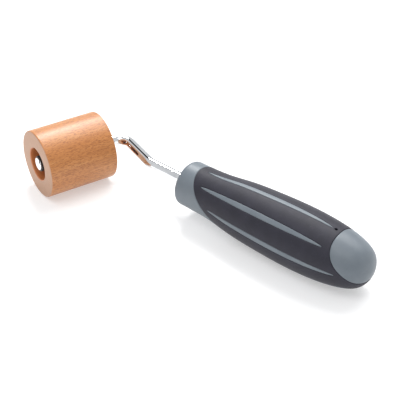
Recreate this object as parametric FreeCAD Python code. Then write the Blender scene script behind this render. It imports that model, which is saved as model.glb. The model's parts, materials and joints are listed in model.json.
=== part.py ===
import FreeCAD, Part
import math
import os

# Seam roller: a beech roller runs on one end of a bent steel rod, and the rod's other end is
# moulded into a two-component grip.  Millimetres.
#
# The rod bends in one plane, the frame plane, which is drawn first as the XY plane: the roller's
# axis is +Y from the roller's outer face, and the rod leaves it towards +X.
# The grip is drawn on its own, along +X from its front face, with its top stripe at +Z.

V = FreeCAD.Vector
ORIGIN = V(0, 0, 0)
X_AXIS = V(1, 0, 0)
Y_AXIS = V(0, 1, 0)
Z_AXIS = V(0, 0, 1)

# ---- roller ----------------------------------------------------------------------------
ROLLER_LENGTH = 45.0
ROLLER_RADIUS = 21.5
ROLLER_EDGE_ROUNDING = 0.8
COUNTERBORE_RADIUS = 10.4
COUNTERBORE_DEPTH = 8.0
COUNTERBORE_CHAMFER = 0.5

# ---- bushes and washers on the axle -----------------------------------------------------
ROD_RADIUS = 3.5
RUNNING_CLEARANCE = 0.05
BUSH_RADIUS = 5.0
BUSH_PRESSED_LENGTH = 12.0
FLANGE_RADIUS = 7.0
FLANGE_THICKNESS = 1.5
WASHER_THICKNESS = 0.8
END_PLAY = 0.2

# ---- bent rod --------------------------------------------------------------------------
HEAD_RADIUS = 4.1
HEAD_RIM = 0.65
HEAD_DOME = 0.35
STAKE_RADIUS = 1.0
STAKE_ANGLE = 46.0
EAR_RADIUS = 5.0
EAR_LENGTH = 2.4
EAR_THICKNESS = 3.0
LEG_STATION = 61.0
BEND_RADIUS = 9.5
KNEE_REACH = 34.8
KNEE_RADIUS = 22.0
KNEE_ANGLE = 18.56
KNEE_TO_GRIP = 30.5
TANG_LENGTH = 85.0
WING_RADIUS = 5.5
WING_LENGTH = 7.0
WING_THICKNESS = 2.6
WING_STATIONS = (28.0, 66.0)

# ---- grip ------------------------------------------------------------------------------
GRIP_LENGTH = 132.6
FRONT_ROUNDING = 3.0
FRONT_RADIUS = 14.2
BELLY_STATION = 85.0
BELLY_RADIUS = 19.0
# (station, radius) points between the rounded front edge and the butt's tip
GRIP_OUTLINE = (
    (15.0, 14.35),
    (27.0, 15.1),
    (41.0, 16.95),
    (58.0, 18.25),
    (BELLY_STATION, BELLY_RADIUS),
    (100.0, 18.35),
    (112.5, 16.75),
    (122.0, 14.25),
    (128.2, 10.8),
)
SLEEVE_THICKNESS = 2.0
# The sleeve's slanted ends are parabolas in the grip's side view:
# station = level - slope * height + bow * height ** 2
COLLAR_EDGE = (21.6, 1.01, 0.0156)
CAP_EDGE = (122.9, 1.437, 0.041)
EDGE_REACH = 20.0

# ---- stripes: ribs of the hard core that show through windows in the sleeve ---------------
STRIPE_COUNT = 8
STRIPE_WIDTH = 3.3
# Each edge of a stripe is three arcs through points of a long ellipse.  These two are shares of
# the half length: where the flat arc meets the steeper one, and the steeper one's middle point.
STRIPE_SHOULDER = 0.75
STRIPE_TIP_MIDDLE = 0.92
STRIPE_FRONT_GAP = 5.6
STRIPE_REAR_GAP = 5.0
STRIPE_FRONT_RADIUS = 14.4
STRIPE_REAR_RADIUS = 17.0
STRIPE_LAST_STATION = 123.0
PIN_HOLE_STATION = 107.2
PIN_HOLE_RADIUS = 0.9
PIN_HOLE_FLOOR = 14.6

# ---- worked out from the sizes above ------------------------------------------------------
INNER_FLOOR = ROLLER_LENGTH - COUNTERBORE_DEPTH
HEAD_BACK = HEAD_RIM + HEAD_DOME
BOSS_DEPTH = HEAD_BACK + WASHER_THICKNESS + END_PLAY
EAR_START = ROLLER_LENGTH - HEAD_BACK
BORE_RADIUS = ROD_RADIUS + RUNNING_CLEARANCE
GRIP_DIRECTION = V(math.cos(math.radians(KNEE_ANGLE)), math.sin(math.radians(KNEE_ANGLE)), 0)
KNEE = V(KNEE_REACH, LEG_STATION, 0)
GRIP_FRONT = KNEE + GRIP_DIRECTION * KNEE_TO_GRIP
# The frame plane sinks towards the grip until the belly touches the surface the roller stands on.
BELLY_REACH = GRIP_FRONT.x + BELLY_STATION * GRIP_DIRECTION.x
FRAME_TILT = math.degrees(math.asin((ROLLER_RADIUS - BELLY_RADIUS) / BELLY_REACH))


def line(start, end):
    return Part.LineSegment(start, end).toShape()


def arc(start, middle, end):
    return Part.Arc(start, middle, end).toShape()


def ring(outer_radius, inner_radius, start, end):
    """A ring on the roller's axis between two stations, given in either order."""
    low = V(0, min(start, end), 0)
    height = abs(end - start)
    outside = Part.makeCylinder(outer_radius, height, low, Y_AXIS)
    inside = Part.makeCylinder(inner_radius, height, low, Y_AXIS)
    return outside.cut(inside)


def place_on_grip_axis(shape):
    """Moves a shape drawn along +X to the end of the rod, in the frame plane."""
    placed = shape.copy()
    placed.Placement = FreeCAD.Placement(GRIP_FRONT, FreeCAD.Rotation(Z_AXIS, KNEE_ANGLE))
    return placed


# ---- roller and its bushes ------------------------------------------------------------------

def counterbore(face, inward):
    """The recess in one end of the roller, with its chamfered mouth."""
    floor = face + inward * COUNTERBORE_DEPTH
    recess = Part.makeCylinder(COUNTERBORE_RADIUS, COUNTERBORE_DEPTH, V(0, min(face, floor), 0), Y_AXIS)
    mouth = Part.makeCone(
        COUNTERBORE_RADIUS + COUNTERBORE_CHAMFER,
        COUNTERBORE_RADIUS,
        COUNTERBORE_CHAMFER,
        V(0, face, 0),
        Y_AXIS * inward,
    )
    return recess.fuse(mouth)


def roller():
    wood = Part.makeCylinder(ROLLER_RADIUS, ROLLER_LENGTH, ORIGIN, Y_AXIS)
    rims = [rim for rim in wood.Edges if isinstance(rim.Curve, Part.Circle)]
    wood = wood.makeFillet(ROLLER_EDGE_ROUNDING, rims)
    bore = Part.makeCylinder(BUSH_RADIUS, ROLLER_LENGTH, ORIGIN, Y_AXIS)
    return wood.cut([bore, counterbore(0, 1), counterbore(ROLLER_LENGTH, -1)])


def bush(face, inward):
    """A plain bush: its flange sits on the counterbore's floor and its boss reaches the washer."""
    boss_end = face + inward * BOSS_DEPTH
    floor = face + inward * COUNTERBORE_DEPTH
    tube = ring(BUSH_RADIUS, BORE_RADIUS, boss_end, floor + inward * BUSH_PRESSED_LENGTH)
    flange = ring(FLANGE_RADIUS, BORE_RADIUS, floor, floor - inward * FLANGE_THICKNESS)
    return tube.fuse(flange).removeSplitter()


def outer_bush():
    return bush(0, 1)


def inner_bush():
    return bush(ROLLER_LENGTH, -1)


def outer_washer():
    return ring(BUSH_RADIUS, BORE_RADIUS, HEAD_BACK, HEAD_BACK + WASHER_THICKNESS)


def inner_washer():
    return ring(BUSH_RADIUS, BORE_RADIUS, EAR_START, EAR_START - WASHER_THICKNESS)


# ---- bent rod -------------------------------------------------------------------------------

def rod_path():
    """The rod's centre line: axle, crook, leg, knee and tang."""
    quarter = BEND_RADIUS * math.cos(math.radians(45))
    bend_start = V(0, LEG_STATION - BEND_RADIUS, 0)
    bend_middle = V(BEND_RADIUS - quarter, LEG_STATION - BEND_RADIUS + quarter, 0)
    bend_end = V(BEND_RADIUS, LEG_STATION, 0)
    half_angle = math.radians(KNEE_ANGLE / 2)
    tangent_length = KNEE_RADIUS * math.tan(half_angle)
    knee_start = KNEE - X_AXIS * tangent_length
    knee_middle = knee_start + V(math.sin(half_angle), 1 - math.cos(half_angle), 0) * KNEE_RADIUS
    knee_end = KNEE + GRIP_DIRECTION * tangent_length
    tang_end = GRIP_FRONT + GRIP_DIRECTION * TANG_LENGTH
    return Part.Wire([
        line(V(0, HEAD_BACK, 0), bend_start),
        arc(bend_start, bend_middle, bend_end),
        line(bend_end, knee_start),
        arc(knee_start, knee_middle, knee_end),
        line(knee_end, tang_end),
    ])


def rod_head():
    """The upset head: a short rim and a low dome, with one staking dent in the rim."""
    rim_front = HEAD_BACK - HEAD_RIM
    tip = V(0, rim_front - HEAD_DOME, 0)
    dome_middle = V(HEAD_RADIUS * 0.55, rim_front - HEAD_DOME * 0.72, 0)
    outline = Part.Wire([
        line(V(0, HEAD_BACK, 0), V(HEAD_RADIUS, HEAD_BACK, 0)),
        line(V(HEAD_RADIUS, HEAD_BACK, 0), V(HEAD_RADIUS, rim_front, 0)),
        arc(V(HEAD_RADIUS, rim_front, 0), dome_middle, tip),
        line(tip, V(0, HEAD_BACK, 0)),
    ])
    head = Part.Face(outline).revolve(ORIGIN, Y_AXIS, 360)
    stake_angle = math.radians(STAKE_ANGLE)
    stake_foot = V(math.cos(stake_angle), 0, math.sin(stake_angle)) * HEAD_RADIUS
    stake = Part.makeCylinder(STAKE_RADIUS, HEAD_BACK, stake_foot, Y_AXIS)
    return head.cut(stake)


def flat_bar(radius, thickness, length, start, axis):
    """A bar across a rod with rounded ends, standing up along Z: swaged ears or wings."""
    disc = Part.makeCylinder(radius, length, axis * start, axis)
    across = axis.cross(Z_AXIS)
    corner = axis * start - across * (thickness / 2) - Z_AXIS * radius
    slab = Part.makeBox(thickness, length, 2 * radius)
    slab.Placement = FreeCAD.Placement(corner, FreeCAD.Rotation(across, axis, Z_AXIS))
    return disc.common(slab)


def rod():
    start = Part.Wire(Part.makeCircle(ROD_RADIUS, V(0, HEAD_BACK, 0), Y_AXIS))
    bent = rod_path().makePipeShell([start], True, False)
    ears = flat_bar(EAR_RADIUS, EAR_THICKNESS, EAR_LENGTH, EAR_START, Y_AXIS)
    wings = [
        place_on_grip_axis(flat_bar(WING_RADIUS, WING_THICKNESS, WING_LENGTH, station, X_AXIS))
        for station in WING_STATIONS
    ]
    return bent.fuse([rod_head(), ears] + wings)


# ---- grip -----------------------------------------------------------------------------------

def grip_body(inset):
    """The grip turned about +X, its whole outline moved inwards by the inset."""
    front = FRONT_RADIUS - inset
    quarter = FRONT_ROUNDING * math.cos(math.radians(45))
    flat_edge = V(inset, front - FRONT_ROUNDING, 0)
    rounding_middle = V(inset + FRONT_ROUNDING - quarter, front - FRONT_ROUNDING + quarter, 0)
    side_start = V(inset + FRONT_ROUNDING, front, 0)
    tip = V(GRIP_LENGTH - inset, 0, 0)
    side = Part.BSplineCurve()
    side.interpolate(
        Points=[side_start] + [V(station, radius - inset, 0) for station, radius in GRIP_OUTLINE] + [tip],
        InitialTangent=X_AXIS,
        FinalTangent=Y_AXIS * -1,
    )
    outline = Part.Wire([
        line(V(inset, 0, 0), flat_edge),
        arc(flat_edge, rounding_middle, side_start),
        side.toShape(),
        line(tip, V(inset, 0, 0)),
    ])
    return Part.Face(outline).revolve(ORIGIN, X_AXIS, 360)


def edge_station(slanted_edge, height):
    level, slope, bow = slanted_edge
    return level - slope * height + bow * height ** 2


def edge_curve(slanted_edge):
    """A slanted edge in the side view, from above the grip to below it, as a parabola."""
    top = edge_station(slanted_edge, EDGE_REACH)
    bottom = edge_station(slanted_edge, -EDGE_REACH)
    level, _slope, bow = slanted_edge
    middle_pole = level - bow * EDGE_REACH ** 2
    curve = Part.BezierCurve()
    curve.setPoles([V(top, 0, EDGE_REACH), V(middle_pole, 0, 0), V(bottom, 0, -EDGE_REACH)])
    return curve.toShape()


def sleeve_zone():
    """All the space between the sleeve's two slanted ends."""
    front = edge_curve(COLLAR_EDGE)
    rear = edge_curve(CAP_EDGE)
    top = line(front.firstVertex().Point, rear.firstVertex().Point)
    bottom = line(front.lastVertex().Point, rear.lastVertex().Point)
    side_view = Part.Face(Part.Wire(Part.sortEdges([front, bottom, rear, top])[0]))
    side_view.translate(Y_AXIS * -EDGE_REACH)
    return side_view.extrude(Y_AXIS * (2 * EDGE_REACH))


def stripe_side(front, rear, side):
    """One long edge of a stripe: a flat arc between two shoulders, and a steeper arc to each tip."""
    middle = (front + rear) / 2
    half_length = (rear - front) / 2

    def edge_point(share):
        height = STRIPE_WIDTH / 2 * math.sqrt(1 - share ** 2)
        return V(middle + half_length * share, side * height, 0)

    front_shoulder = edge_point(-STRIPE_SHOULDER)
    rear_shoulder = edge_point(STRIPE_SHOULDER)
    return [
        arc(V(front, 0, 0), edge_point(-STRIPE_TIP_MIDDLE), front_shoulder),
        arc(front_shoulder, edge_point(0), rear_shoulder),
        arc(rear_shoulder, edge_point(STRIPE_TIP_MIDDLE), V(rear, 0, 0)),
    ]


def stripe_blade(angle):
    """A long blade that stands out from the grip's axis at the given angle from the top."""
    upward = math.cos(math.radians(angle))
    front = edge_station(COLLAR_EDGE, STRIPE_FRONT_RADIUS * upward) + STRIPE_FRONT_GAP
    rear = edge_station(CAP_EDGE, STRIPE_REAR_RADIUS * upward) - STRIPE_REAR_GAP
    rear = min(rear, STRIPE_LAST_STATION)
    outline = Part.Wire(stripe_side(front, rear, 1) + stripe_side(front, rear, -1)[::-1])
    blade = Part.Face(outline).extrude(Z_AXIS * EDGE_REACH)
    blade.rotate(ORIGIN, X_AXIS, angle)
    return blade


def sleeve_shell():
    """The sleeve with its stripe windows, before the pin hole."""
    skin = grip_body(0).cut(grip_body(SLEEVE_THICKNESS))
    windows = [stripe_blade(step * 360 / STRIPE_COUNT) for step in range(STRIPE_COUNT)]
    return skin.common(sleeve_zone()).cut(windows)


def pin_hole():
    """The mark of a mould pin: a small blind hole through the sleeve, in line with the top stripe."""
    height = EDGE_REACH - PIN_HOLE_FLOOR
    return Part.makeCylinder(PIN_HOLE_RADIUS, height, V(PIN_HOLE_STATION, 0, PIN_HOLE_FLOOR))


def grip_sleeve():
    return place_on_grip_axis(sleeve_shell().cut(pin_hole()))


def handle_core():
    core = grip_body(0).cut([sleeve_shell(), pin_hole()])
    return place_on_grip_axis(core).cut(rod())


# ---- the whole tool, on the surface it rests on ---------------------------------------------

def place_on_surface(shape):
    """Tilts the frame plane about the roller's axis and turns the grip to point along +X."""
    tilt = FreeCAD.Placement(ORIGIN, FreeCAD.Rotation(Y_AXIS, FRAME_TILT))
    turn = FreeCAD.Placement(V(0, 0, ROLLER_RADIUS), FreeCAD.Rotation(Z_AXIS, -KNEE_ANGLE))
    placed = shape.copy()
    placed.Placement = turn.multiply(tilt).multiply(shape.Placement)
    return placed


def main():
    nodes = {
        "roller": roller(),
        "outer_bush": outer_bush(),
        "inner_bush": inner_bush(),
        "outer_washer": outer_washer(),
        "inner_washer": inner_washer(),
        "rod": rod(),
        "handle_core": handle_core(),
        "grip_sleeve": grip_sleeve(),
    }
    placed = {name: place_on_surface(shape) for name, shape in nodes.items()}
    box = Part.Compound(list(placed.values())).optimalBoundingBox(False, False)
    centre = V((box.XMin + box.XMax) / 2, (box.YMin + box.YMax) / 2, 0)
    os.makedirs("parts", exist_ok=True)
    for name, shape in placed.items():
        shape.translate(centre * -1)
        shape.exportStep("parts/" + name + ".step")
        print(name, "valid", shape.isValid(), "solids", len(shape.Solids), "volume", round(shape.Volume, 1))
    axle = V(0, 0, ROLLER_RADIUS) - centre
    axis = V(math.sin(math.radians(KNEE_ANGLE)), math.cos(math.radians(KNEE_ANGLE)), 0)
    print("size", [round(value, 3) for value in (box.XLength, box.YLength, box.ZLength)], "bottom", box.ZMin)
    print("axle at outer face", tuple(axle), "axis", tuple(axis), "tilt", FRAME_TILT)


main()
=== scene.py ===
import json
import math

import bmesh
import bpy
import numpy as np
from mathutils import Matrix, Vector

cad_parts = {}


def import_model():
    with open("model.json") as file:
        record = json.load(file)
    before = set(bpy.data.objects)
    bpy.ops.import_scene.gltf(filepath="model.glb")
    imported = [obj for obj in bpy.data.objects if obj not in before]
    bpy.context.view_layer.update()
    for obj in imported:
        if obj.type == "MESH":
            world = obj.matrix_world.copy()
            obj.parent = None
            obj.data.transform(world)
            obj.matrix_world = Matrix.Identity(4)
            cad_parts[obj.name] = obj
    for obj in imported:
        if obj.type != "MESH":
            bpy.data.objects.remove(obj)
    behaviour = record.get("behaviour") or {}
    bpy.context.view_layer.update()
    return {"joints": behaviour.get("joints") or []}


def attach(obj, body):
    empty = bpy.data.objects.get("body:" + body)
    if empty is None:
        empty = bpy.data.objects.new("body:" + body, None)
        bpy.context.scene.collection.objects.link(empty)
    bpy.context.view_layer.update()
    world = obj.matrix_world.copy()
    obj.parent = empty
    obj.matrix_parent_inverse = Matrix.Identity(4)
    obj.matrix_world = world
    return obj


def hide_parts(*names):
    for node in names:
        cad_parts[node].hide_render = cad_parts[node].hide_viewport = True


# Seam roller: beech roller on a bent plated rod with a two-component grip.
# Sizes below are millimetres in the part's own shapes; MM turns them into Blender's metres.

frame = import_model()

MM = 0.001
# Points nearer than this are one point.
WELD = 0.0005
# Edges that turn by more degrees than this are shaded sharp.
SHARP_ANGLE = 40.0

# ---- sizes shared with the CAD part --------------------------------------------------------------
ROLLER_LENGTH = 45.0
ROLLER_RADIUS = 21.5
ROLLER_EDGE_ROUNDING = 0.8
COUNTERBORE_RADIUS = 10.4
COUNTERBORE_DEPTH = 8.0
COUNTERBORE_CHAMFER = 0.5
ROD_RADIUS = 3.5
BORE_RADIUS = 3.55
BUSH_RADIUS = 5.0
BUSH_PRESSED_LENGTH = 12.0
FLANGE_RADIUS = 7.0
FLANGE_THICKNESS = 1.5
WASHER_THICKNESS = 0.8
END_PLAY = 0.2
HEAD_RADIUS = 4.1
HEAD_RIM = 0.65
HEAD_DOME = 0.35
STAKE_ANGLE = math.radians(46.0)
EAR_RADIUS = 5.0
EAR_LENGTH = 2.4
LEG_STATION = 61.0
BEND_RADIUS = 9.5
KNEE_REACH = 34.8
KNEE_RADIUS = 22.0
KNEE_TO_GRIP = 30.5
TANG_LENGTH = 85.0
GRIP_LENGTH = 132.6
FRONT_ROUNDING = 3.0
FRONT_RADIUS = 14.2
BELLY_STATION = 85.0
BELLY_RADIUS = 19.0
# (station, radius) of points on the grip's outline
GRIP_OUTLINE = (
    (15.0, 14.35),
    (27.0, 15.1),
    (41.0, 16.95),
    (58.0, 18.25),
    (BELLY_STATION, BELLY_RADIUS),
    (100.0, 18.35),
    (112.5, 16.75),
    (122.0, 14.25),
    (128.2, 10.8),
)
SLEEVE_THICKNESS = 2.0
# (station at the grip's axis, slope, bow) of the sleeve's two slanted ends
COLLAR_EDGE = (21.6, 1.01, 0.0156)
CAP_EDGE = (122.9, 1.437, 0.041)
STRIPE_COUNT = 8
STRIPE_WIDTH = 3.3
STRIPE_FRONT_GAP = 5.6
STRIPE_REAR_GAP = 5.0
STRIPE_FRONT_RADIUS = 14.4
STRIPE_REAR_RADIUS = 17.0
STRIPE_LAST_STATION = 123.0
PIN_HOLE_STATION = 107.2
PIN_HOLE_RADIUS = 0.9
PIN_HOLE_FLOOR = 14.6

HEAD_BACK = HEAD_RIM + HEAD_DOME
BOSS_DEPTH = HEAD_BACK + WASHER_THICKNESS + END_PLAY
EAR_START = ROLLER_LENGTH - HEAD_BACK

# ---- places, from the frame ----------------------------------------------------------------------
JOINT = frame["joints"][0]
ROLLER_AXIS = Vector(JOINT["axis"]).normalized()
ROLLER_CENTRE = Vector(JOINT["pos_m"])
AXLE_FACE = ROLLER_CENTRE - ROLLER_AXIS * (ROLLER_LENGTH / 2 * MM)
UP = Vector((0, 0, 1))
KNEE_ANGLE = math.atan2(ROLLER_AXIS.x, ROLLER_AXIS.y)


def axes_matrix(x_axis, y_axis, z_axis, origin):
    """The placement whose columns are the three axes."""
    matrix = Matrix((x_axis, y_axis, z_axis)).transposed().to_4x4()
    matrix.translation = origin
    return matrix


# The axle's own frame: Z runs along the roller's axis from the outer face, and Y is up.
AXLE_FRAME = axes_matrix(UP.cross(ROLLER_AXIS), UP, ROLLER_AXIS, AXLE_FACE)

# The rod's frame plane sinks towards the grip until the grip's belly rests on the floor.
BELLY_REACH = KNEE_REACH + (KNEE_TO_GRIP + BELLY_STATION) * math.cos(KNEE_ANGLE)
FRAME_TILT = math.asin((ROLLER_RADIUS - BELLY_RADIUS) / BELLY_REACH)
ROD_FRAME = (
    Matrix.Translation(AXLE_FACE)
    @ Matrix.Rotation(-KNEE_ANGLE, 4, "Z")
    @ Matrix.Rotation(FRAME_TILT, 4, "Y")
)
GRIP_DIRECTION = Vector((math.cos(KNEE_ANGLE), math.sin(KNEE_ANGLE), 0))
KNEE = Vector((KNEE_REACH, LEG_STATION, 0))
GRIP_FRONT = KNEE + GRIP_DIRECTION * KNEE_TO_GRIP
GRIP_FRAME = ROD_FRAME @ Matrix.Translation(GRIP_FRONT * MM) @ Matrix.Rotation(KNEE_ANGLE, 4, "Z")


# ---- mesh tools ----------------------------------------------------------------------------------

def grid_faces(rows, columns, closed_rows=False, closed_columns=False):
    """The quads of a grid of points, with either direction closed into a ring if asked."""
    faces = []
    for row in range(rows if closed_rows else rows - 1):
        for column in range(columns if closed_columns else columns - 1):
            next_row = (row + 1) % rows
            next_column = (column + 1) % columns
            faces.append((
                row * columns + column,
                row * columns + next_column,
                next_row * columns + next_column,
                next_row * columns + column,
            ))
    return faces


def make_shell(name, grids, placement):
    """A mesh object from point grids in millimetres: (points, closed_rows, closed_columns)."""
    vertices = []
    faces = []
    for points, closed_rows, closed_columns in grids:
        first = len(vertices)
        rows, columns = points.shape[:2]
        vertices.extend(placement @ Vector(point) for point in points.reshape(-1, 3) * MM)
        faces.extend(
            tuple(first + corner for corner in face)
            for face in grid_faces(rows, columns, closed_rows, closed_columns)
        )
    mesh = bpy.data.meshes.new(name)
    mesh.from_pydata(vertices, [], faces)
    shell = bmesh.new()
    shell.from_mesh(mesh)
    bmesh.ops.remove_doubles(shell, verts=shell.verts, dist=WELD * MM)
    bmesh.ops.dissolve_degenerate(shell, edges=shell.edges, dist=WELD * MM / 10)
    bmesh.ops.recalc_face_normals(shell, faces=shell.faces)
    shell.to_mesh(mesh)
    shell.free()
    mesh.shade_smooth()
    mesh.set_sharp_from_angle(angle=math.radians(SHARP_ANGLE))
    piece = bpy.data.objects.new(name, mesh)
    bpy.context.scene.collection.objects.link(piece)
    return piece


def make_piece(name, grids, placement, body, node, material):
    """A shell that stands for a CAD node, with its material."""
    piece = make_shell(name, grids, placement)
    piece.data.materials.append(material)
    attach(piece, body)
    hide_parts(node)
    return piece


def add_shells(piece, grids, placement):
    """Adds more closed shells to a piece's mesh."""
    extra = make_shell("extra_shells", grids, placement)
    joined = bmesh.new()
    joined.from_mesh(piece.data)
    joined.from_mesh(extra.data)
    joined.to_mesh(piece.data)
    joined.free()
    bpy.data.objects.remove(extra)


def add_thickness(piece, thickness):
    """Turns an open skin into a closed wall by thickening it inwards."""
    wall = piece.modifiers.new("wall", "SOLIDIFY")
    wall.thickness = thickness * MM
    wall.offset = -1
    wall.use_even_offset = False
    wall.use_quality_normals = False


def freeze(piece):
    """Replaces the mesh by what its modifiers make of it."""
    graph = bpy.context.evaluated_depsgraph_get()
    result = bpy.data.meshes.new_from_object(piece.evaluated_get(graph))
    piece.modifiers.clear()
    piece.data = result


def eased(count):
    """Shares from 0 to 1 that crowd together at both ends."""
    return (1 - np.cos(np.linspace(0, math.pi, count))) / 2


def rounded_outline(corners, steps=5):
    """A closed outline from (radius, station, rounding) corners, an arc at each that has a rounding."""
    outline = []
    count = len(corners)
    for index, (radius, station, rounding) in enumerate(corners):
        here = np.array((radius, station))
        before = np.array(corners[index - 1][:2]) - here
        after = np.array(corners[(index + 1) % count][:2]) - here
        before /= np.linalg.norm(before)
        after /= np.linalg.norm(after)
        if rounding == 0:
            outline.append(here)
            continue
        half_angle = math.acos(np.clip(np.dot(before, after), -1, 1)) / 2
        start = here + before * rounding / math.tan(half_angle)
        end = here + after * rounding / math.tan(half_angle)
        middle = (before + after) / np.linalg.norm(before + after)
        centre = here + middle * rounding / math.sin(half_angle)
        for step in np.linspace(0, 1, steps + 1):
            toward = (start - centre) * (1 - step) + (end - centre) * step
            outline.append(centre + toward / np.linalg.norm(toward) * rounding)
    return np.array(outline)


def turned(outline, segments):
    """A closed (radius, station) outline turned about Z, as a grid closed both ways."""
    angle = np.linspace(0, 2 * math.pi, segments, endpoint=False)
    radius = outline[:, 0][:, None]
    station = outline[:, 1][:, None] + 0 * angle
    return np.stack([radius * np.cos(angle), radius * np.sin(angle), station], axis=-1)


# ---- the grip's outline --------------------------------------------------------------------------

def clamped_spline(points, start_tangent, end_tangent, steps):
    """A cubic spline through the points by chord length, with unit end tangents."""
    points = np.array(points, float)
    chords = np.linalg.norm(np.diff(points, axis=0), axis=1)
    system = np.eye(len(points))
    wanted = np.zeros_like(points)
    wanted[0] = start_tangent
    wanted[-1] = end_tangent
    for index in range(1, len(points) - 1):
        before, after = chords[index - 1], chords[index]
        system[index, index - 1:index + 2] = after, 2 * (before + after), before
        rise_before = (points[index] - points[index - 1]) / before
        rise_after = (points[index + 1] - points[index]) / after
        wanted[index] = 3 * (after * rise_before + before * rise_after)
    slopes = np.linalg.solve(system, wanted)
    traced = [points[:1]]
    for index, chord in enumerate(chords):
        part = np.linspace(0, 1, steps + 1)[1:, None]
        traced.append(
            points[index] * (1 + 2 * part) * (1 - part) ** 2
            + slopes[index] * chord * part * (1 - part) ** 2
            + points[index + 1] * part ** 2 * (3 - 2 * part)
            + slopes[index + 1] * chord * part ** 2 * (part - 1)
        )
    return np.vstack(traced)


SIDE_STEPS = 60
# The grip's side as (station, radius) points, from behind the rounded front edge to the butt's tip.
SIDE_LINE = clamped_spline(
    [(FRONT_ROUNDING, FRONT_RADIUS), *GRIP_OUTLINE, (GRIP_LENGTH, 0)], (1, 0), (0, -1), SIDE_STEPS
)
SIDE_STATION = SIDE_LINE[:, 0]
SIDE_RADIUS = SIDE_LINE[:, 1]
SIDE_TRAVEL = np.concatenate([[0], np.cumsum(np.linalg.norm(np.diff(SIDE_LINE, axis=0), axis=1))])
SIDE_END = SIDE_TRAVEL[-1]
# How far to each side of a point the outline's direction is measured.
SLOPE_REACH = 0.05


def outline_at(travel):
    """Station and radius of the outline at a travel along it."""
    return np.interp(travel, SIDE_TRAVEL, SIDE_STATION), np.interp(travel, SIDE_TRAVEL, SIDE_RADIUS)


def side_point(travel, drop=0.0):
    """Station and radius at a travel along the outline, sunk below the surface by the drop."""
    travel = np.clip(travel, 0, SIDE_END)
    station, radius = outline_at(travel)
    station_ahead, radius_ahead = outline_at(np.clip(travel + SLOPE_REACH, 0, SIDE_END))
    station_behind, radius_behind = outline_at(np.clip(travel - SLOPE_REACH, 0, SIDE_END))
    along_station = station_ahead - station_behind
    along_radius = radius_ahead - radius_behind
    length = np.hypot(along_station, along_radius)
    sunk_station = station + drop * along_radius / length
    sunk_radius = np.maximum(radius - drop * along_station / length, 0)
    return sunk_station, sunk_radius


def travel_at_station(station):
    """Travel along the outline at which a station is reached."""
    return np.interp(station, SIDE_STATION, SIDE_TRAVEL)


def edge_station(slanted_edge, height):
    """The station of a slanted, slightly bowed edge at a height above the grip's axis."""
    level, slope, bow = slanted_edge
    return level - slope * height + bow * height ** 2


def edge_travel(slanted_edge, angle):
    """Travel along the outline at which a slanted edge is met, for each angle from the top."""
    heights = SIDE_RADIUS[:, None] * np.cos(np.atleast_1d(angle))
    past = SIDE_STATION[:, None] - edge_station(slanted_edge, heights)
    index = np.argmax(past >= 0, axis=0)
    column = np.arange(past.shape[1])
    here, before = past[index, column], past[index - 1, column]
    share = -before / (here - before)
    return SIDE_TRAVEL[index - 1] + share * (SIDE_TRAVEL[index] - SIDE_TRAVEL[index - 1])


def grip_points(station, radius, angle):
    """Points on the grip from station, radius and angle from the top."""
    station, radius, angle = np.broadcast_arrays(station, radius, angle)
    return np.stack([station, -radius * np.sin(angle), radius * np.cos(angle)], axis=-1)


def stripe_angle(stripe):
    """A stripe's angle from the top of the grip."""
    return stripe * 2 * math.pi / STRIPE_COUNT


def stripe_ends(stripe):
    """The stations of a stripe's two tips."""
    upward = math.cos(stripe_angle(stripe))
    front = edge_station(COLLAR_EDGE, STRIPE_FRONT_RADIUS * upward) + STRIPE_FRONT_GAP
    rear = edge_station(CAP_EDGE, STRIPE_REAR_RADIUS * upward) - STRIPE_REAR_GAP
    return front, min(rear, STRIPE_LAST_STATION)


def stripe_half_width(stripe, station):
    """Half the stripe's width at a station: a long ellipse."""
    front, rear = stripe_ends(stripe)
    share = (station - (front + rear) / 2) / ((rear - front) / 2)
    return STRIPE_WIDTH / 2 * np.sqrt(np.clip(1 - share ** 2, 0, 1))


# ---- grip sleeve: the soft skin, in sectors between the stripes ----------------------------------

# (distance in from an edge, drop below the surface) along every edge of the soft skin
SOFT_EDGE = ((0.0, 0.30), (0.06, 0.17), (0.16, 0.07), (0.32, 0.015), (0.55, 0.0))
EDGE_DISTANCE = np.array([distance for distance, _drop in SOFT_EDGE])
EDGE_DROP = np.array([drop for _distance, drop in SOFT_EDGE])
SECTOR_COLUMNS = 18
WINDOW_ROWS = 84
FRONT_BAND_ROWS = 9
REAR_BAND_ROWS = 11
# Below this half width, near its tips, a window's rounded edge fades out.
FADE_WIDTH = 0.35
PIN_FLOOR_ROUNDING = 0.15
# The pin hole's mouth widens by PIN_LIP, from PIN_LIP_DEPTH below the surface to PIN_LIP_RISE above.
PIN_LIP = 0.16
PIN_LIP_DEPTH = 0.12
PIN_LIP_RISE = 0.1
PIN_CUTTER_TOP = 2.0
PIN_SEGMENTS = 48


def seam_rows(stripe):
    """Travel along one stripe's line: collar edge, front tip, rear tip, cap edge."""
    angle = stripe_angle(stripe)
    collar = edge_travel(COLLAR_EDGE, angle)[0]
    cap = edge_travel(CAP_EDGE, angle)[0]
    front, rear = (travel_at_station(station) for station in stripe_ends(stripe))
    return np.concatenate([
        collar + EDGE_DISTANCE,
        np.linspace(collar + EDGE_DISTANCE[-1], front, FRONT_BAND_ROWS)[1:-1],
        front + (rear - front) * eased(WINDOW_ROWS),
        np.linspace(rear, cap - EDGE_DISTANCE[-1], REAR_BAND_ROWS)[1:-1],
        cap - EDGE_DISTANCE[::-1],
    ])


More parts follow.
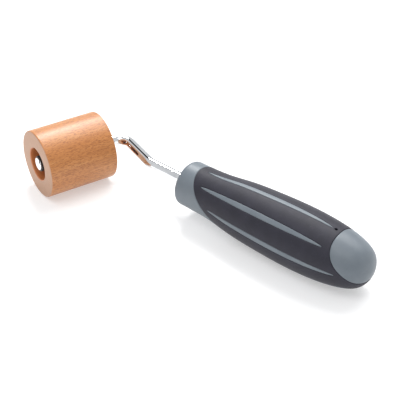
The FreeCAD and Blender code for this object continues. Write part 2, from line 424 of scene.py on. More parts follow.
def sector_grid(stripe):
    """The soft skin between one stripe and the next."""
    left, right = seam_rows(stripe), seam_rows(stripe + 1)
    left_station, left_radius = side_point(left)
    right_station, right_radius = side_point(right)
    left_width = stripe_half_width(stripe, left_station)
    right_width = stripe_half_width(stripe + 1, right_station)
    left_angle = stripe_angle(stripe) + np.arcsin(left_width / left_radius)
    right_angle = stripe_angle(stripe + 1) - np.arcsin(right_width / right_radius)
    inner_left = left_angle + EDGE_DISTANCE[-1] / left_radius
    inner_right = right_angle - EDGE_DISTANCE[-1] / right_radius
    share = np.linspace(0, 1, SECTOR_COLUMNS)[1:-1]
    angle = np.hstack([
        left_angle[:, None] + EDGE_DISTANCE / left_radius[:, None],
        inner_left[:, None] + (inner_right - inner_left)[:, None] * share,
        right_angle[:, None] - EDGE_DISTANCE[::-1] / right_radius[:, None],
    ])
    across = (angle - stripe_angle(stripe)) / (stripe_angle(stripe + 1) - stripe_angle(stripe))
    travel = left[:, None] * (1 - across) + right[:, None] * across
    along = (travel - travel[:1]) / (travel[-1:] - travel[:1])
    travel = travel + (edge_travel(COLLAR_EDGE, angle[0]) - travel[:1]) * (1 - along)
    travel = travel + (edge_travel(CAP_EDGE, angle[-1]) - travel[-1:]) * along
    end_drop = np.zeros(len(left))
    end_drop[:len(EDGE_DROP)] = EDGE_DROP
    end_drop[-len(EDGE_DROP):] = EDGE_DROP[::-1]
    side_drop = np.zeros_like(angle)
    left_share = np.clip(left_width / FADE_WIDTH, 0, 1)[:, None]
    right_share = np.clip(right_width / FADE_WIDTH, 0, 1)[:, None]
    side_drop[:, :len(EDGE_DROP)] = EDGE_DROP * left_share
    side_drop[:, -len(EDGE_DROP):] = EDGE_DROP[::-1] * right_share
    drop = np.maximum(side_drop, end_drop[:, None])
    station, radius = side_point(travel, drop)
    return grip_points(station, radius, angle)


def cut_pin_hole(piece):
    """Cuts the mould pin's mark out of a piece of the grip, with a slightly flared mouth."""
    station, radius = side_point(travel_at_station(PIN_HOLE_STATION))
    floor_level = PIN_HOLE_FLOOR - radius
    outline = rounded_outline([
        (0.0, floor_level, 0),
        (PIN_HOLE_RADIUS, floor_level, PIN_FLOOR_ROUNDING),
        (PIN_HOLE_RADIUS, -PIN_LIP_DEPTH, 0),
        (PIN_HOLE_RADIUS + PIN_LIP, PIN_LIP_RISE, 0),
        (PIN_HOLE_RADIUS + PIN_LIP, PIN_CUTTER_TOP, 0),
        (0.0, PIN_CUTTER_TOP, 0),
    ])
    placement = GRIP_FRAME @ Matrix.Translation(Vector((float(station), 0, float(radius))) * MM)
    cutter = make_shell("pin_cutter", [(turned(outline, PIN_SEGMENTS), False, True)], placement)
    cut = piece.modifiers.new("pin_hole", "BOOLEAN")
    cut.operation = "DIFFERENCE"
    cut.solver = "EXACT"
    cut.object = cutter
    freeze(piece)
    bpy.data.objects.remove(cutter)


def grip_sleeve(material):
    """The dark soft skin, with a window for each stripe."""
    grids = [(sector_grid(stripe), False, False) for stripe in range(STRIPE_COUNT)]
    piece = make_piece("soft_sleeve", grids, GRIP_FRAME, "frame", "grip_sleeve", material)
    add_thickness(piece, SLEEVE_THICKNESS)
    freeze(piece)
    cut_pin_hole(piece)


# ---- handle core: collar, butt cap, hidden body and the stripes' ribs ----------------------------

CORE_COLUMNS = 224
# The hard moulding stops this far from the soft skin's edges, so that no two faces coincide.
CORE_GAP = 0.03
CORE_DEPTH = SLEEVE_THICKNESS + 0.08
# (distance in from an edge, drop below the surface) along the collar's and the cap's edges
HARD_EDGE = ((0.95, 0.0), (0.60, 0.04), (0.30, 0.13), (0.10, 0.27), (0.0, 0.42))
TANG_CLEARANCE = 0.02
# (station, distance out from the socket's wall) round the mouth of the tang's socket
SOCKET_MOUTH = ((0.5, 0.0), (0.22, 0.05), (0.06, 0.2), (0.0, 0.5))
FACE_RINGS = (6.5, 9.0)
ROUNDING_RINGS = 10
COLLAR_ROWS = 26
BODY_ROWS = 48
CAP_ROWS = 36
RIB_ROWS = 90
RIB_ACROSS = (-1.0, -1.0, -0.94, -0.84, -0.66, -0.33, 0.0, 0.33, 0.66, 0.84, 0.94, 1.0, 1.0)
RIB_ROUNDING = 0.24
RIB_FOOT = CORE_DEPTH + 0.3


def core_grid():
    """The core from the tang's socket over the front face, collar and cap to the butt's tip."""
    angle = np.linspace(0, 2 * math.pi, CORE_COLUMNS, endpoint=False)
    collar = edge_travel(COLLAR_EDGE, angle) - CORE_GAP
    cap = edge_travel(CAP_EDGE, angle) + CORE_GAP
    face_edge = FRONT_RADIUS - FRONT_ROUNDING
    socket = ROD_RADIUS + TANG_CLEARANCE
    lathe_rows = [(TANG_LENGTH, 0.0), (TANG_LENGTH, socket), (TANG_LENGTH / 2, socket)]
    lathe_rows += [(station, socket + outward) for station, outward in SOCKET_MOUTH]
    lathe_rows += [(0.0, radius) for radius in FACE_RINGS]
    for turn in np.linspace(math.pi / 2, 0, ROUNDING_RINGS):
        lathe_rows.append((
            FRONT_ROUNDING * (1 - math.sin(turn)),
            face_edge + FRONT_ROUNDING * math.cos(turn),
        ))
    rows = [grip_points(station, radius, angle) for station, radius in lathe_rows]
    collar_end = collar - HARD_EDGE[0][0]
    cap_start = cap + HARD_EDGE[0][0]
    skin = [(collar_end * share, 0.0) for share in np.linspace(0, 1, COLLAR_ROWS)[1:-1]]
    skin += [(collar - distance, drop) for distance, drop in HARD_EDGE]
    skin += [(collar + (cap - collar) * share, CORE_DEPTH) for share in np.linspace(0, 1, BODY_ROWS)]
    skin += [(cap + distance, drop) for distance, drop in reversed(HARD_EDGE)]
    skin += [
        (cap_start + (SIDE_END - cap_start) * share, 0.0) for share in np.linspace(0, 1, CAP_ROWS)[1:]
    ]
    for travel, drop in skin:
        station, radius = side_point(travel, drop)
        rows.append(grip_points(station, radius, angle))
    return np.stack(rows)


def rib_grid(stripe):
    """One stripe: a lens-shaped rib that stands on the core, flush with the sleeve."""
    front, rear = (travel_at_station(station) for station in stripe_ends(stripe))
    travel = front + (rear - front) * eased(RIB_ROWS)
    wide = np.flatnonzero(stripe_half_width(stripe, side_point(travel)[0]) > CORE_GAP)
    travel = travel[wide[0] - 1:wide[-1] + 2][:, None]
    station, radius = side_point(travel)
    width = np.maximum(stripe_half_width(stripe, station) - CORE_GAP, 0)
    across = np.array(RIB_ACROSS)
    inwards = width * (1 - np.abs(across))
    drop = RIB_ROUNDING * (1 - np.clip(inwards / RIB_ROUNDING, 0, 1)) ** 2
    drop[:, [0, -1]] = RIB_FOOT
    angle = stripe_angle(stripe) + np.arcsin(across * width / radius)
    sunk_station, sunk_radius = side_point(travel + 0 * drop, drop)
    return grip_points(sunk_station, sunk_radius, angle)


def handle_core(material):
    """The hard grey moulding: its ribs are added after the pin hole is cut."""
    body = [(core_grid(), False, True)]
    piece = make_piece("hard_core", body, GRIP_FRAME, "frame", "handle_core", material)
    cut_pin_hole(piece)
    ribs = [(rib_grid(stripe), False, True) for stripe in range(STRIPE_COUNT)]
    add_shells(piece, ribs, GRIP_FRAME)


# ---- roller, bushes and washers, turned about the axle -------------------------------------------

ROLLER_SEGMENTS = 288
ROLLER_ARC_STEPS = 8
BUSH_SEGMENTS = 128
# Roundings of edges, in millimetres.
BORED_EDGE = 0.1
COUNTERBORE_CORNER = 0.25
CHAMFER_INNER = 0.08
CHAMFER_OUTER = 0.12
BUSH_BORE_EDGE = 0.2
BUSH_BOSS_EDGE = 0.3
BUSH_BOSS_FOOT = 0.25
BUSH_FLANGE_EDGE = 0.3
BUSH_FLANGE_BACK = 0.1
BUSH_FLANGE_FOOT = 0.05
BUSH_LEAD_IN = 0.5
WASHER_BORE_EDGE = 0.15
WASHER_ROLLED_EDGE = 0.22
WASHER_SHARP_EDGE = 0.06


def roller(material):
    """The beech roller, with a bore for the bushes and a counterbore at each end."""
    mouth = COUNTERBORE_RADIUS + COUNTERBORE_CHAMFER
    outer_end = [
        (BUSH_RADIUS, COUNTERBORE_DEPTH, BORED_EDGE),
        (COUNTERBORE_RADIUS, COUNTERBORE_DEPTH, COUNTERBORE_CORNER),
        (COUNTERBORE_RADIUS, COUNTERBORE_CHAMFER, CHAMFER_INNER),
        (mouth, 0, CHAMFER_OUTER),
        (ROLLER_RADIUS, 0, ROLLER_EDGE_ROUNDING),
    ]
    inner_end = [
        (radius, ROLLER_LENGTH - station, rounding) for radius, station, rounding in reversed(outer_end)
    ]
    outline = rounded_outline(outer_end + inner_end, ROLLER_ARC_STEPS)
    grids = [(turned(outline, ROLLER_SEGMENTS), True, True)]
    make_piece("beech_roller", grids, AXLE_FRAME, "roller", "roller", material)


def bush(node, name, face, inward, material):
    """A nylon bush: boss, flange and the part pressed into the roller, with moulded roundings."""
    def station(depth):
        return face + inward * depth

    flange_front = COUNTERBORE_DEPTH - FLANGE_THICKNESS
    pressed_end = COUNTERBORE_DEPTH + BUSH_PRESSED_LENGTH
    outline = rounded_outline([
        (BORE_RADIUS, station(BOSS_DEPTH), BUSH_BORE_EDGE),
        (BUSH_RADIUS, station(BOSS_DEPTH), BUSH_BOSS_EDGE),
        (BUSH_RADIUS, station(flange_front), BUSH_BOSS_FOOT),
        (FLANGE_RADIUS, station(flange_front), BUSH_FLANGE_EDGE),
        (FLANGE_RADIUS, station(COUNTERBORE_DEPTH), BUSH_FLANGE_BACK),
        (BUSH_RADIUS, station(COUNTERBORE_DEPTH), BUSH_FLANGE_FOOT),
        (BUSH_RADIUS, station(pressed_end), BUSH_LEAD_IN),
        (BORE_RADIUS, station(pressed_end), BUSH_BORE_EDGE),
    ])
    grids = [(turned(outline, BUSH_SEGMENTS), True, True)]
    make_piece(name, grids, AXLE_FRAME, "roller", node, material)


def washer(node, name, start, material):
    """A stamped washer: one edge rolled by the punch, the other nearly sharp."""
    end = start + WASHER_THICKNESS
    outline = rounded_outline([
        (BORE_RADIUS, start, WASHER_BORE_EDGE),
        (BUSH_RADIUS, start, WASHER_ROLLED_EDGE),
        (BUSH_RADIUS, end, WASHER_SHARP_EDGE),
        (BORE_RADIUS, end, WASHER_SHARP_EDGE),
    ])
    grids = [(turned(outline, BUSH_SEGMENTS), True, True)]
    make_piece(name, grids, AXLE_FRAME, "frame", node, material)


# ---- bent rod ------------------------------------------------------------------------------------

ROD_SEGMENTS = 96
AXLE_RINGS = 104
CROOK_RINGS = 30
LEG_RINGS = 8
KNEE_RINGS = 14
TANG_RINGS = 40
EAR_HALF_THICKNESS = 1.5
# The ears rise out of the rod over this length at each end.
EAR_RAMP = 0.5
STAKE_RADIUS = 1.0
# (station, radius) over the peened head's dome, rim and back
HEAD_PROFILE = (
    (0.0, 0.0),
    (0.02, 0.8),
    (0.07, 1.8),
    (0.14, 2.7),
    (0.22, 3.3),
    (0.30, 3.75),
    (0.38, 3.95),
    (0.50, 4.06),
    (0.62, HEAD_RADIUS),
    (0.86, HEAD_RADIUS),
    (0.95, 4.04),
    (HEAD_BACK, 3.9),
    (HEAD_BACK, 3.55),
)


def rod_stations():
    """The rod's centre line in the frame plane: (point, direction) rings from head to tang."""
    rings = []

    def straight(start, end, count):
        way = (end - start).normalized()
        for share in np.linspace(0, 1, count):
            rings.append((start.lerp(end, share), way))

    def bend(start, way, radius, turn, count):
        """Turns the way by the signed angle about the frame plane's normal."""
        side = Vector((-way.y, way.x, 0)) * math.copysign(1, turn)
        centre = start + side * radius
        for share in np.linspace(0, 1, count)[1:-1]:
            spin = Matrix.Rotation(turn * share, 3, "Z")
            rings.append((centre + spin @ (start - centre), spin @ way))

    corner = Vector((0, LEG_STATION - BEND_RADIUS, 0))
    leg_start = Vector((BEND_RADIUS, LEG_STATION, 0))
    tangent_length = KNEE_RADIUS * math.tan(KNEE_ANGLE / 2)
    knee_start = KNEE - Vector((tangent_length, 0, 0))
    knee_end = KNEE + GRIP_DIRECTION * tangent_length
    straight(Vector((0, HEAD_BACK, 0)), corner, AXLE_RINGS)
    bend(corner, Vector((0, 1, 0)), BEND_RADIUS, -math.pi / 2, CROOK_RINGS)
    straight(leg_start, knee_start, LEG_RINGS)
    bend(knee_start, Vector((1, 0, 0)), KNEE_RADIUS, KNEE_ANGLE, KNEE_RINGS)
    straight(knee_end, GRIP_FRONT + GRIP_DIRECTION * TANG_LENGTH, TANG_RINGS)
    return rings


def ear_share(station):
    """How far the swaged ears stand out at a station of the axle, from 0 to 1."""
    inside = min(station - EAR_START, EAR_START + EAR_LENGTH - station)
    return float(np.clip(inside / EAR_RAMP + 1, 0, 1))


def stake_dent(turn):
    """How far the head reaches at each angle, with one round dent bitten out of its rim."""
    off_stake = np.arctan2(np.sin(turn - STAKE_ANGLE), np.cos(turn - STAKE_ANGLE))
    sideways = np.clip(HEAD_RADIUS * np.abs(np.sin(off_stake)), 0, STAKE_RADIUS)
    return np.where(
        (np.abs(off_stake) < math.pi / 2) & (sideways < STAKE_RADIUS),
        HEAD_RADIUS * np.cos(off_stake) - np.sqrt(STAKE_RADIUS ** 2 - sideways ** 2),
        HEAD_RADIUS,
    )


def rod_grid():
    """Head, axle with its swaged ears, crook, leg, knee and tang, as one skin."""
    turn = np.linspace(0, 2 * math.pi, ROD_SEGMENTS, endpoint=False)
    ear_profile = EAR_HALF_THICKNESS / np.maximum(np.abs(np.cos(turn)), EAR_HALF_THICKNESS / EAR_RADIUS)
    ear_profile = np.maximum(ear_profile, ROD_RADIUS)
    dent = stake_dent(turn)
    rows = []
    for station, radius in HEAD_PROFILE:
        reach = np.minimum(radius, dent)
        rows.append(np.stack([reach * np.cos(turn), 0 * turn + station, reach * np.sin(turn)], axis=-1))
    for point, way in rod_stations():
        on_axle = abs(point.x) < WELD
        share = ear_share(point.y) if on_axle else 0.0
        reach = ROD_RADIUS + (ear_profile - ROD_RADIUS) * share
        side = Vector((way.y, -way.x, 0))
        around = np.outer(reach * np.cos(turn), side) + np.outer(reach * np.sin(turn), UP)
        rows.append(np.array(point) + around)
    end = np.array(GRIP_FRONT + GRIP_DIRECTION * TANG_LENGTH)
    rows.append(np.tile(end, (ROD_SEGMENTS, 1)))
    return np.stack(rows)


def rod(material):
    """The bent rod, whose head row and last row each close to a point."""
    grids = [(rod_grid(), False, True)]
    make_piece("plated_rod", grids, ROD_FRAME, "frame", "rod", material)


# ---- materials -----------------------------------------------------------------------------------

class Surface:
    """A material being put together: its coordinates are a placement's own, in millimetres."""

    def __init__(self, name, placement=None):
        self.material = bpy.data.materials.new(name)
        self.material.use_nodes = True
        self.tree = self.material.node_tree
        self.shader = self.tree.nodes["Principled BSDF"]
        self.source = self.tree.nodes.new("ShaderNodeTexCoord")
        self.place = self.vector("MULTIPLY", self.source.outputs["Object"], (1 / MM, 1 / MM, 1 / MM))
        if placement is not None:
            inputs = {
                "Vector": self.place,
                "Location": placement.translation / MM,
                "Rotation": placement.to_euler(),
            }
            self.place = self.add("ShaderNodeMapping", inputs, vector_type="TEXTURE").outputs[0]

    def add(self, kind, inputs, **settings):
        """A node with its settings, and its inputs set to values or linked to sockets."""
        made = self.tree.nodes.new(kind)
        for name, value in settings.items():
            setattr(made, name, value)
        for key, value in inputs.items():
            if isinstance(value, bpy.types.NodeSocket):
                self.tree.links.new(value, made.inputs[key])
            else:
                made.inputs[key].default_value = value
        return made

    def vector(self, operation, first, second=None):
        """The result of a vector operation, a number for a length or a dot product."""
        inputs = {0: first} if second is None else {0: first, 1: second}
        made = self.add("ShaderNodeVectorMath", inputs, operation=operation)
        return made.outputs["Value" if operation in ("LENGTH", "DOT_PRODUCT") else "Vector"]

    def math(self, operation, first, second=0.0):
        """The result of an operation on numbers."""
        return self.add("ShaderNodeMath", {0: first, 1: second}, operation=operation).outputs[0]

    def split(self, vector):
        """The three parts of a place."""
        parts = self.add("ShaderNodeSeparateXYZ", {0: vector}).outputs
        return parts[0], parts[1], parts[2]

    def join(self, x, y, z):
        """A place from its three parts."""
        return self.add("ShaderNodeCombineXYZ", {0: x, 1: y, 2: z}).outputs[0]

    def scaled(self, parts, factors):
        """A place whose three parts are each multiplied by a factor."""
        return self.join(*(self.math("MULTIPLY", part, factor) for part, factor in zip(parts, factors)))

    def noise(self, place, scale, detail=3.0, roughness=0.5, distortion=0.0):
        """A noise from 0 to 1, whose scale is in features per millimetre of the place."""
        inputs = {
            "Vector": place,
            "Scale": scale,
            "Detail": detail,
            "Roughness": roughness,
            "Distortion": distortion,
        }
        return self.add("ShaderNodeTexNoise", inputs).outputs["Fac"]

    def ramp(self, value, *stops):
        """A colour ramp through (position, colour) stops, or (position, grey)."""
        made = self.add("ShaderNodeValToRGB", {"Fac": value})
        elements = made.color_ramp.elements
        while len(elements) < len(stops):
            elements.new(0.5)
        for element, (position, colour) in zip(elements, stops):
            element.position = position
            shade = colour if isinstance(colour, tuple) else (colour, colour, colour)
            element.color = (*shade, 1)
        return made.outputs["Color"]

    def blend(self, share, first, second):
        """Runs from the first colour to the second as the share goes from 0 to 1."""
        made = self.add("ShaderNodeMix", {}, data_type="RGBA", blend_type="MIX")
        sockets = (made.inputs[0], made.inputs[6], made.inputs[7])
        for socket, value in zip(sockets, (share, first, second)):
            if isinstance(value, bpy.types.NodeSocket):
                self.tree.links.new(value, socket)
            else:
                socket.default_value = (*value, 1)
        return made.outputs[2]

    def between(self, value, low, high):
        """A 0 to 1 value stretched to run from low to high."""
        inputs = {"Value": value, "To Min": low, "To Max": high}
        return self.add("ShaderNodeMapRange", inputs).outputs["Result"]

    def plus(self, first, second, share):
        """One grey pattern with a share of another added to it."""
        return self.math("ADD", first, self.math("MULTIPLY", second, share))

    def finish(self, colour, roughness, heights):
        """Connects colour, roughness and (height, distance in mm, strength) reliefs."""
        self.tree.links.new(colour, self.shader.inputs["Base Color"])
        self.tree.links.new(roughness, self.shader.inputs["Roughness"])
        normal = None
        for height, distance, strength in heights:
            inputs = {"Height": height, "Distance": distance * MM, "Strength": strength}
            if normal is not None:
                inputs["Normal"] = normal
            normal = self.add("ShaderNodeBump", inputs).outputs["Normal"]
        self.tree.links.new(normal, self.shader.inputs["Normal"])
        return self.material


# The pith of the plank that the roller was turned from, across the roller's axis.
PITH = (-110.0, 95.0, 0.0)
# The mean distance from the pith, which turns an angle about it into a length along the rings.
RING_RADIUS = 140.0
BEECH_PALE = (0.595, 0.270, 0.081)
BEECH_MID = (0.512, 0.193, 0.044)
BEECH_DARK = (0.428, 0.149, 0.030)
BEECH_RING = (0.344, 0.113, 0.025)
BEECH_FIBRE = (0.372, 0.126, 0.028)
BEECH_FLECK = (0.25, 0.066, 0.009)
END_PALE = (0.486, 0.278, 0.168)
END_DARK = (0.324, 0.165, 0.088)
# Drilled wood in the counterbores, made darker than the drilled wood alone by painted shade of the
# recess.
DRILLED_SHADE = (0.54, 0.175, 0.055)
# Inside this distance from the axle the wood is drilled, not sanded, and its colour is darkened with
# painted shade for the recess of the counterbore and bore.
DRILLED_SHADE_RADIUS = 10.7
DRILLED_SHADE_FADE = 11.0
# A ramp runs from 0 to 1, so a distance goes into it as a share of this one.
RAMP_SPAN = 20.0
# How much each pattern is squeezed across and along the grain: (x, y, z), and for the rays
# (along the rings, out from the pith, along the grain).
WANDER_SQUEEZE = (0.06, 0.06, 0.012)
STREAK_SQUEEZE = (0.55, 0.55, 0.03)
FIBRE_SQUEEZE = (3.2, 3.2, 0.14)
RAY_SQUEEZE = (2.7, 1.2, 0.46)
# How far, in millimetres, the rings wander from true circles.
RING_WANDER = 7.0
# How strongly each pattern colours the wood.
RING_SHARE = 0.22
FIBRE_SHARE = 0.42
FLECK_SHARE = 0.86
DRIFT_SHARE = 0.30
END_FLECK_SHARE = 0.35
END_RING_SHARE = 0.30
END_SHARE = 0.85
# How strongly the drilled wood and its painted shade colour the counterbores.
DRILLED_SHADE_SHARE = 0.92


def wood_features(wood):
    """Grey patterns of the timber by name: drift, streaks, rings, fibres, rays and flecks."""
    drift = wood.noise(wood.place, 0.035, detail=2.0)
    x, y, z = wood.split(wood.vector("SUBTRACT", wood.place, PITH))
    radius = wood.vector("LENGTH", wood.join(x, y, 0.0))
    tangential = wood.math("MULTIPLY", wood.math("ARCTAN2", y, x), RING_RADIUS)
    wander = wood.noise(wood.scaled((x, y, z), WANDER_SQUEEZE), 1.0, detail=2.0)
    ring_radius = wood.plus(radius, wander, RING_WANDER)
    ring_noise = wood.noise(wood.join(ring_radius, 0.0, 0.0), 0.42, detail=2.0, roughness=0.6)
    ray_place = wood.scaled((tangential, radius, z), RAY_SQUEEZE)
    rays = wood.noise(ray_place, 1.0, detail=2.0, roughness=0.55)
    return {
        "drift": drift,
        "streaks": wood.noise(wood.scaled((x, y, z), STREAK_SQUEEZE), 1.0, detail=3.0),
        "rings": wood.ramp(ring_noise, (0.30, 0.0), (0.52, 0.45), (0.60, 1.0), (0.68, 0.3), (0.85, 0.1)),
        "fibres": wood.noise(wood.scaled((x, y, z), FIBRE_SQUEEZE), 1.0, detail=4.0, roughness=0.62),
        "rays": rays,
        "flecks": wood.ramp(rays, (0.0, 0.0), (0.51, 0.0), (0.60, 1.0)),
    }


def beech_material():
    """Oiled beech as a solid texture: rings about the pith, ray flecks, fine fibres and painted shade in
    the counterbores.
    """
    wood = Surface("beech", AXLE_FRAME)
    grain = wood_features(wood)
    fibres, flecks, rings = grain["fibres"], grain["flecks"], grain["rings"]
    along = wood.vector("DOT_PRODUCT", wood.source.outputs["Normal"], ROLLER_AXIS)
    end_grain = wood.ramp(wood.math("ABSOLUTE", along), (0.55, 0.0), (0.92, 1.0))
    colour = wood.ramp(grain["streaks"], (0.28, BEECH_DARK), (0.5, BEECH_MID), (0.75, BEECH_PALE))
    colour = wood.blend(wood.math("MULTIPLY", rings, RING_SHARE), colour, BEECH_RING)
    colour = wood.blend(wood.between(fibres, 0.0, FIBRE_SHARE), colour, BEECH_FIBRE)
    colour = wood.blend(wood.math("MULTIPLY", flecks, FLECK_SHARE), colour, BEECH_FLECK)
    colour = wood.blend(wood.between(grain["drift"], 0.0, DRIFT_SHARE), colour, BEECH_PALE)
    end_colour = wood.blend(wood.between(fibres, 0.1, 0.75), END_PALE, END_DARK)
    end_colour = wood.blend(wood.math("MULTIPLY", flecks, END_FLECK_SHARE), end_colour, END_PALE)
    end_colour = wood.blend(wood.math("MULTIPLY", rings, END_RING_SHARE), end_colour, END_DARK)
    colour = wood.blend(wood.math("MULTIPLY", end_grain, END_SHARE), colour, end_colour)
    x, y, _z = wood.split(wood.place)
    from_axle = wood.math("DIVIDE", wood.vector("LENGTH", wood.join(x, y, 0.0)), RAMP_SPAN)
    # Painted shade: the wood near the axle, in the counterbores and the bore, is darkened, partly for
    # the drilled surface and partly for shade in the recess.
    drilled_shade = wood.ramp(from_axle, (DRILLED_SHADE_RADIUS / RAMP_SPAN, 1.0), (DRILLED_SHADE_FADE / RAMP_SPAN, 0.0))
    colour = wood.blend(wood.math("MULTIPLY", drilled_shade, DRILLED_SHADE_SHARE), colour, DRILLED_SHADE)
    roughness = wood.between(wood.plus(fibres, end_grain, 0.35), 0.28, 0.52)
    wood.shader.inputs["Specular IOR Level"].default_value = 0.5
    wood.shader.inputs["Coat Weight"].default_value = 0.4
    wood.shader.inputs["Coat Roughness"].default_value = 0.52
    return wood.finish(colour, roughness, [(fibres, 0.10, 0.35), (grain["rays"], 0.08, 0.25)])


HARD_DARK = (0.123, 0.146, 0.169)
HARD_PALE = (0.149, 0.173, 0.195)
HARD_WORN = (0.22, 0.25, 0.265)


def hard_plastic_material():
    """Blue-grey moulded polypropylene with a fine eroded mould texture."""
    plastic = Surface("hard_grip", GRIP_FRAME)
    mottle = plastic.noise(plastic.place, 0.09)
    grain = plastic.noise(plastic.place, 2.6, detail=4.0, roughness=0.6)
    scuffs = plastic.noise(plastic.place, 0.55, detail=5.0, roughness=0.7, distortion=0.6)
    colour = plastic.ramp(mottle, (0.3, HARD_DARK), (0.7, HARD_PALE))
    worn = plastic.ramp(scuffs, (0.0, 0.0), (0.62, 0.0), (0.80, 0.35))
    colour = plastic.blend(worn, colour, HARD_WORN)
    roughness = plastic.between(plastic.plus(grain, scuffs, 0.4), 0.28, 0.50)
    plastic.shader.inputs["Specular IOR Level"].default_value = 0.45
    return plastic.finish(colour, roughness, [(grain, 0.05, 0.35), (scuffs, 0.03, 0.15)])


SOFT_DARK = (0.011, 0.0105, 0.019)
SOFT_PALE = (0.017, 0.0163, 0.028)
SOFT_WORN = (0.040, 0.038, 0.055)


def soft_rubber_material():
    """Anthracite thermoplastic rubber: matt, with handling marks and a fine sheen."""
    rubber = Surface("soft_grip", GRIP_FRAME)
    mottle = rubber.noise(rubber.place, 0.12)
    grain = rubber.noise(rubber.place, 3.4, roughness=0.6)
    rubbed = rubber.noise(rubber.place, 0.35, detail=5.0, roughness=0.65, distortion=0.8)
    colour = rubber.ramp(mottle, (0.3, SOFT_DARK), (0.7, SOFT_PALE))
    worn = rubber.ramp(rubbed, (0.0, 0.0), (0.55, 0.0), (0.78, 0.4))
    colour = rubber.blend(worn, colour, SOFT_WORN)
    roughness = rubber.between(rubber.plus(grain, rubbed, 0.5), 0.40, 0.66)
    rubber.shader.inputs["Specular IOR Level"].default_value = 0.40
    rubber.shader.inputs["Sheen Weight"].default_value = 0.06
    rubber.shader.inputs["Sheen Roughness"].default_value = 0.4
    return rubber.finish(colour, roughness, [(grain, 0.06, 0.4), (rubbed, 0.04, 0.2)])


ZINC_DARK = (0.720, 0.732, 0.750)
ZINC_PALE = (0.888, 0.900, 0.904)
ZINC_PIT = (0.45, 0.45, 0.46)


def plated_steel_material():
    """Bright zinc plate: drawing lines along the wire, faint clouding and tiny pits."""
    steel = Surface("rod_plating", ROD_FRAME)
    x, y, z = steel.split(steel.place)
    cloud = steel.noise(steel.place, 0.16, detail=4.0, roughness=0.6)
    lines = steel.noise(steel.join(x, y, steel.math("MULTIPLY", z, 9.0)), 0.35, roughness=0.6)
    pits = steel.noise(steel.place, 2.4, detail=2.0)
    colour = steel.ramp(cloud, (0.3, ZINC_DARK), (0.7, ZINC_PALE))
    pitted = steel.ramp(pits, (0.0, 0.0), (0.66, 0.0), (0.8, 0.5))
    colour = steel.blend(pitted, colour, ZINC_PIT)
    roughness = steel.between(steel.plus(cloud, lines, 0.5), 0.0, 0.03)
    steel.shader.inputs["Metallic"].default_value = 1.0
    return steel.finish(colour, roughness, [(lines, 0.02, 0.05), (pits, 0.01, 0.05)])


# The washers' colours are much darker than bright steel: partly dark oiled steel, partly painted shade
# of the counterbores they sit in.
WASHER_DARK_SHADED = (0.040, 0.036, 0.033)
WASHER_PALE_SHADED = (0.075, 0.070, 0.066)


def washer_steel_material():
    """Stamped steel with turning marks round its own hole and light oil staining, painted very dark to
    stand partly for the shade in the counterbores.
    """
    steel = Surface("washer_steel", AXLE_FRAME)
    x, y, _z = steel.split(steel.place)
    radius = steel.vector("LENGTH", steel.join(x, y, 0.0))
    marks = steel.noise(steel.join(radius, 0.0, 0.0), 5.5, roughness=0.7)
    stain = steel.noise(steel.place, 0.5, detail=4.0, roughness=0.6)
    colour = steel.ramp(stain, (0.3, WASHER_DARK_SHADED), (0.7, WASHER_PALE_SHADED))
    roughness = steel.between(steel.plus(marks, stain, 0.4), 0.38, 0.6)
    steel.shader.inputs["Metallic"].default_value = 1.0
    return steel.finish(colour, roughness, [(marks, 0.02, 0.3), (stain, 0.02, 0.15)])


NYLON_DARK = (0.020, 0.017, 0.016)
NYLON_PALE = (0.040, 0.034, 0.031)


def bush_nylon_material():
    """Dark nylon with turning marks and faint clouding."""
    nylon = Surface("bush_nylon", AXLE_FRAME)
    x, y, _z = nylon.split(nylon.place)
    radius = nylon.vector("LENGTH", nylon.join(x, y, 0.0))
    marks = nylon.noise(nylon.join(radius, 0.0, 0.0), 4.0, roughness=0.7)
    cloud = nylon.noise(nylon.place, 0.35, detail=4.0, roughness=0.6)
    colour = nylon.ramp(cloud, (0.3, NYLON_DARK), (0.7, NYLON_PALE))
    roughness = nylon.between(nylon.plus(marks, cloud, 0.3), 0.3, 0.55)
    return nylon.finish(colour, roughness, [(marks, 0.03, 0.3), (cloud, 0.03, 0.2)])


# ---- stage ---------------------------------------------------------------------------------------

FLOOR_GLOW = 0.39
# The stage is in metres.
FLOOR_REACH = 4.0


def floor_material():
    """A matt white table that glows a little, so that shadows stay light."""
    paper = Surface("floor_table")
    fibre = paper.noise(paper.place, 0.25, detail=4.0)
    colour = paper.ramp(fibre, (0.3, 0.66), (0.7, 0.68))
    roughness = paper.between(fibre, 0.8, 0.95)
    paper.shader.inputs["Emission Color"].default_value = (1.0, 1.0, 1.0, 1.0)
    paper.shader.inputs["Emission Strength"].default_value = FLOOR_GLOW
    paper.shader.inputs["Specular IOR Level"].default_value = 0.1
    return paper.finish(colour, roughness, [(fibre, 0.02, 0.1)])


def floor():
    """A broad white sheet that the object rests on, FLOOR_REACH metres to each side."""
    signs = ((-1, -1), (1, -1), (1, 1), (-1, 1))
    mesh = bpy.data.meshes.new("floor")
    mesh.from_pydata([(x * FLOOR_REACH, y * FLOOR_REACH, 0) for x, y in signs], [], [(0, 1, 2, 3)])
    mesh.materials.append(floor_material())
    sheet = bpy.data.objects.new("floor", mesh)
    bpy.context.scene.collection.objects.link(sheet)


FLAG_DIRECTION = (-0.662, 0.215, 0.718)
# (closeness to the flag's direction, brightness)
WORLD_SHADES = ((0.981, 1.0), (0.987, 0.02))
WORLD_TINT = (0.97, 0.98, 1.0)
WORLD_STRENGTH = 0.72


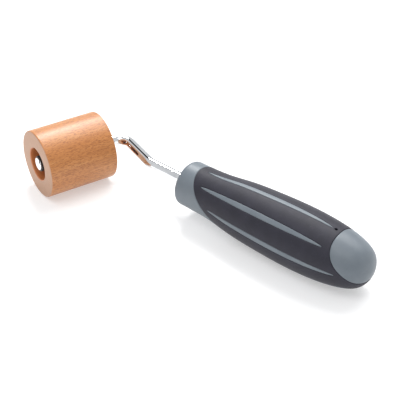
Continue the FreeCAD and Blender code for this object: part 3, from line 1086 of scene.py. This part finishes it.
def world():
    """An even pale studio with one dark flag high behind the object, for bright metal to show."""
    studio = bpy.data.worlds.new("studio")
    bpy.context.scene.world = studio
    studio.use_nodes = True
    tree = studio.node_tree
    background = tree.nodes["Background"]
    source = tree.nodes.new("ShaderNodeTexCoord")
    toward_flag = tree.nodes.new("ShaderNodeVectorMath")
    ramp = tree.nodes.new("ShaderNodeValToRGB")
    toward_flag.operation = "DOT_PRODUCT"
    toward_flag.inputs[1].default_value = FLAG_DIRECTION
    tree.links.new(source.outputs["Generated"], toward_flag.inputs[0])
    tree.links.new(toward_flag.outputs["Value"], ramp.inputs["Fac"])
    tree.links.new(ramp.outputs["Color"], background.inputs["Color"])
    for element, (position, shade) in zip(ramp.color_ramp.elements, WORLD_SHADES):
        element.position = position
        element.color = (*(shade * part for part in WORLD_TINT), 1)
    background.inputs["Strength"].default_value = WORLD_STRENGTH


# (name, azimuth that it comes from, elevation, distance m, width m, height m, power W)
LIGHTS = (
    ("top", 194.0, 58.0, 1.6, 1.2, 0.9, 18.0),
    ("strip", 230.0, 48.0, 1.6, 0.35, 0.3, 12.5),
    ("key", 5.0, 62.0, 1.3, 0.6, 0.6, 4.0),
)
LIGHTS_AIM = Vector((0, 0, 0.02))


def way_from(azimuth, elevation):
    """The direction towards an azimuth in degrees, counted from -Y towards +X, and an elevation."""
    turn, lift = math.radians(azimuth), math.radians(elevation)
    return Vector((math.sin(turn) * math.cos(lift), -math.cos(turn) * math.cos(lift), math.sin(lift)))


def look(holder, aim, azimuth, elevation, distance):
    """Puts a lamp or camera at a distance from its aim and turns it to face it."""
    way = way_from(azimuth, elevation)
    holder.location = aim + way * distance
    holder.rotation_euler = (-way).to_track_quat("-Z", "Y").to_euler()


def lights():
    """Soft rectangular lamps, all turned towards the object."""
    for name, azimuth, elevation, distance, width, height, power in LIGHTS:
        lamp = bpy.data.lights.new(name, "AREA")
        lamp.shape = "RECTANGLE"
        lamp.size = width
        lamp.size_y = height
        lamp.energy = power
        holder = bpy.data.objects.new(name, lamp)
        bpy.context.scene.collection.objects.link(holder)
        look(holder, LIGHTS_AIM, azimuth, elevation, distance)


CAMERA_AZIMUTH = 39.996
CAMERA_ELEVATION = 35.47
CAMERA_DISTANCE = 0.6609
CAMERA_AIM = Vector((0.0029, 0.0076, 0.020))
CAMERA_LENS = 99.96
CAMERA_SENSOR = 36.0


def camera():
    """The camera from the front right and above, with the whole object in view."""
    data = bpy.data.cameras.new("camera")
    data.lens = CAMERA_LENS
    data.sensor_width = CAMERA_SENSOR
    holder = bpy.data.objects.new("camera", data)
    bpy.context.scene.collection.objects.link(holder)
    look(holder, CAMERA_AIM, CAMERA_AZIMUTH, CAMERA_ELEVATION, CAMERA_DISTANCE)
    bpy.context.scene.camera = holder


def main():
    """Makes every piece and the stage."""
    nylon = bush_nylon_material()
    steel = washer_steel_material()
    roller(beech_material())
    bush("outer_bush", "nylon_bush_outer", 0.0, 1, nylon)
    bush("inner_bush", "nylon_bush_inner", ROLLER_LENGTH, -1, nylon)
    washer("outer_washer", "steel_washer_outer", HEAD_BACK, steel)
    washer("inner_washer", "steel_washer_inner", EAR_START - WASHER_THICKNESS, steel)
    rod(plated_steel_material())
    handle_core(hard_plastic_material())
    grip_sleeve(soft_rubber_material())
    floor()
    world()
    lights()
    camera()
    bpy.context.scene.view_settings.view_transform = "Standard"


main()
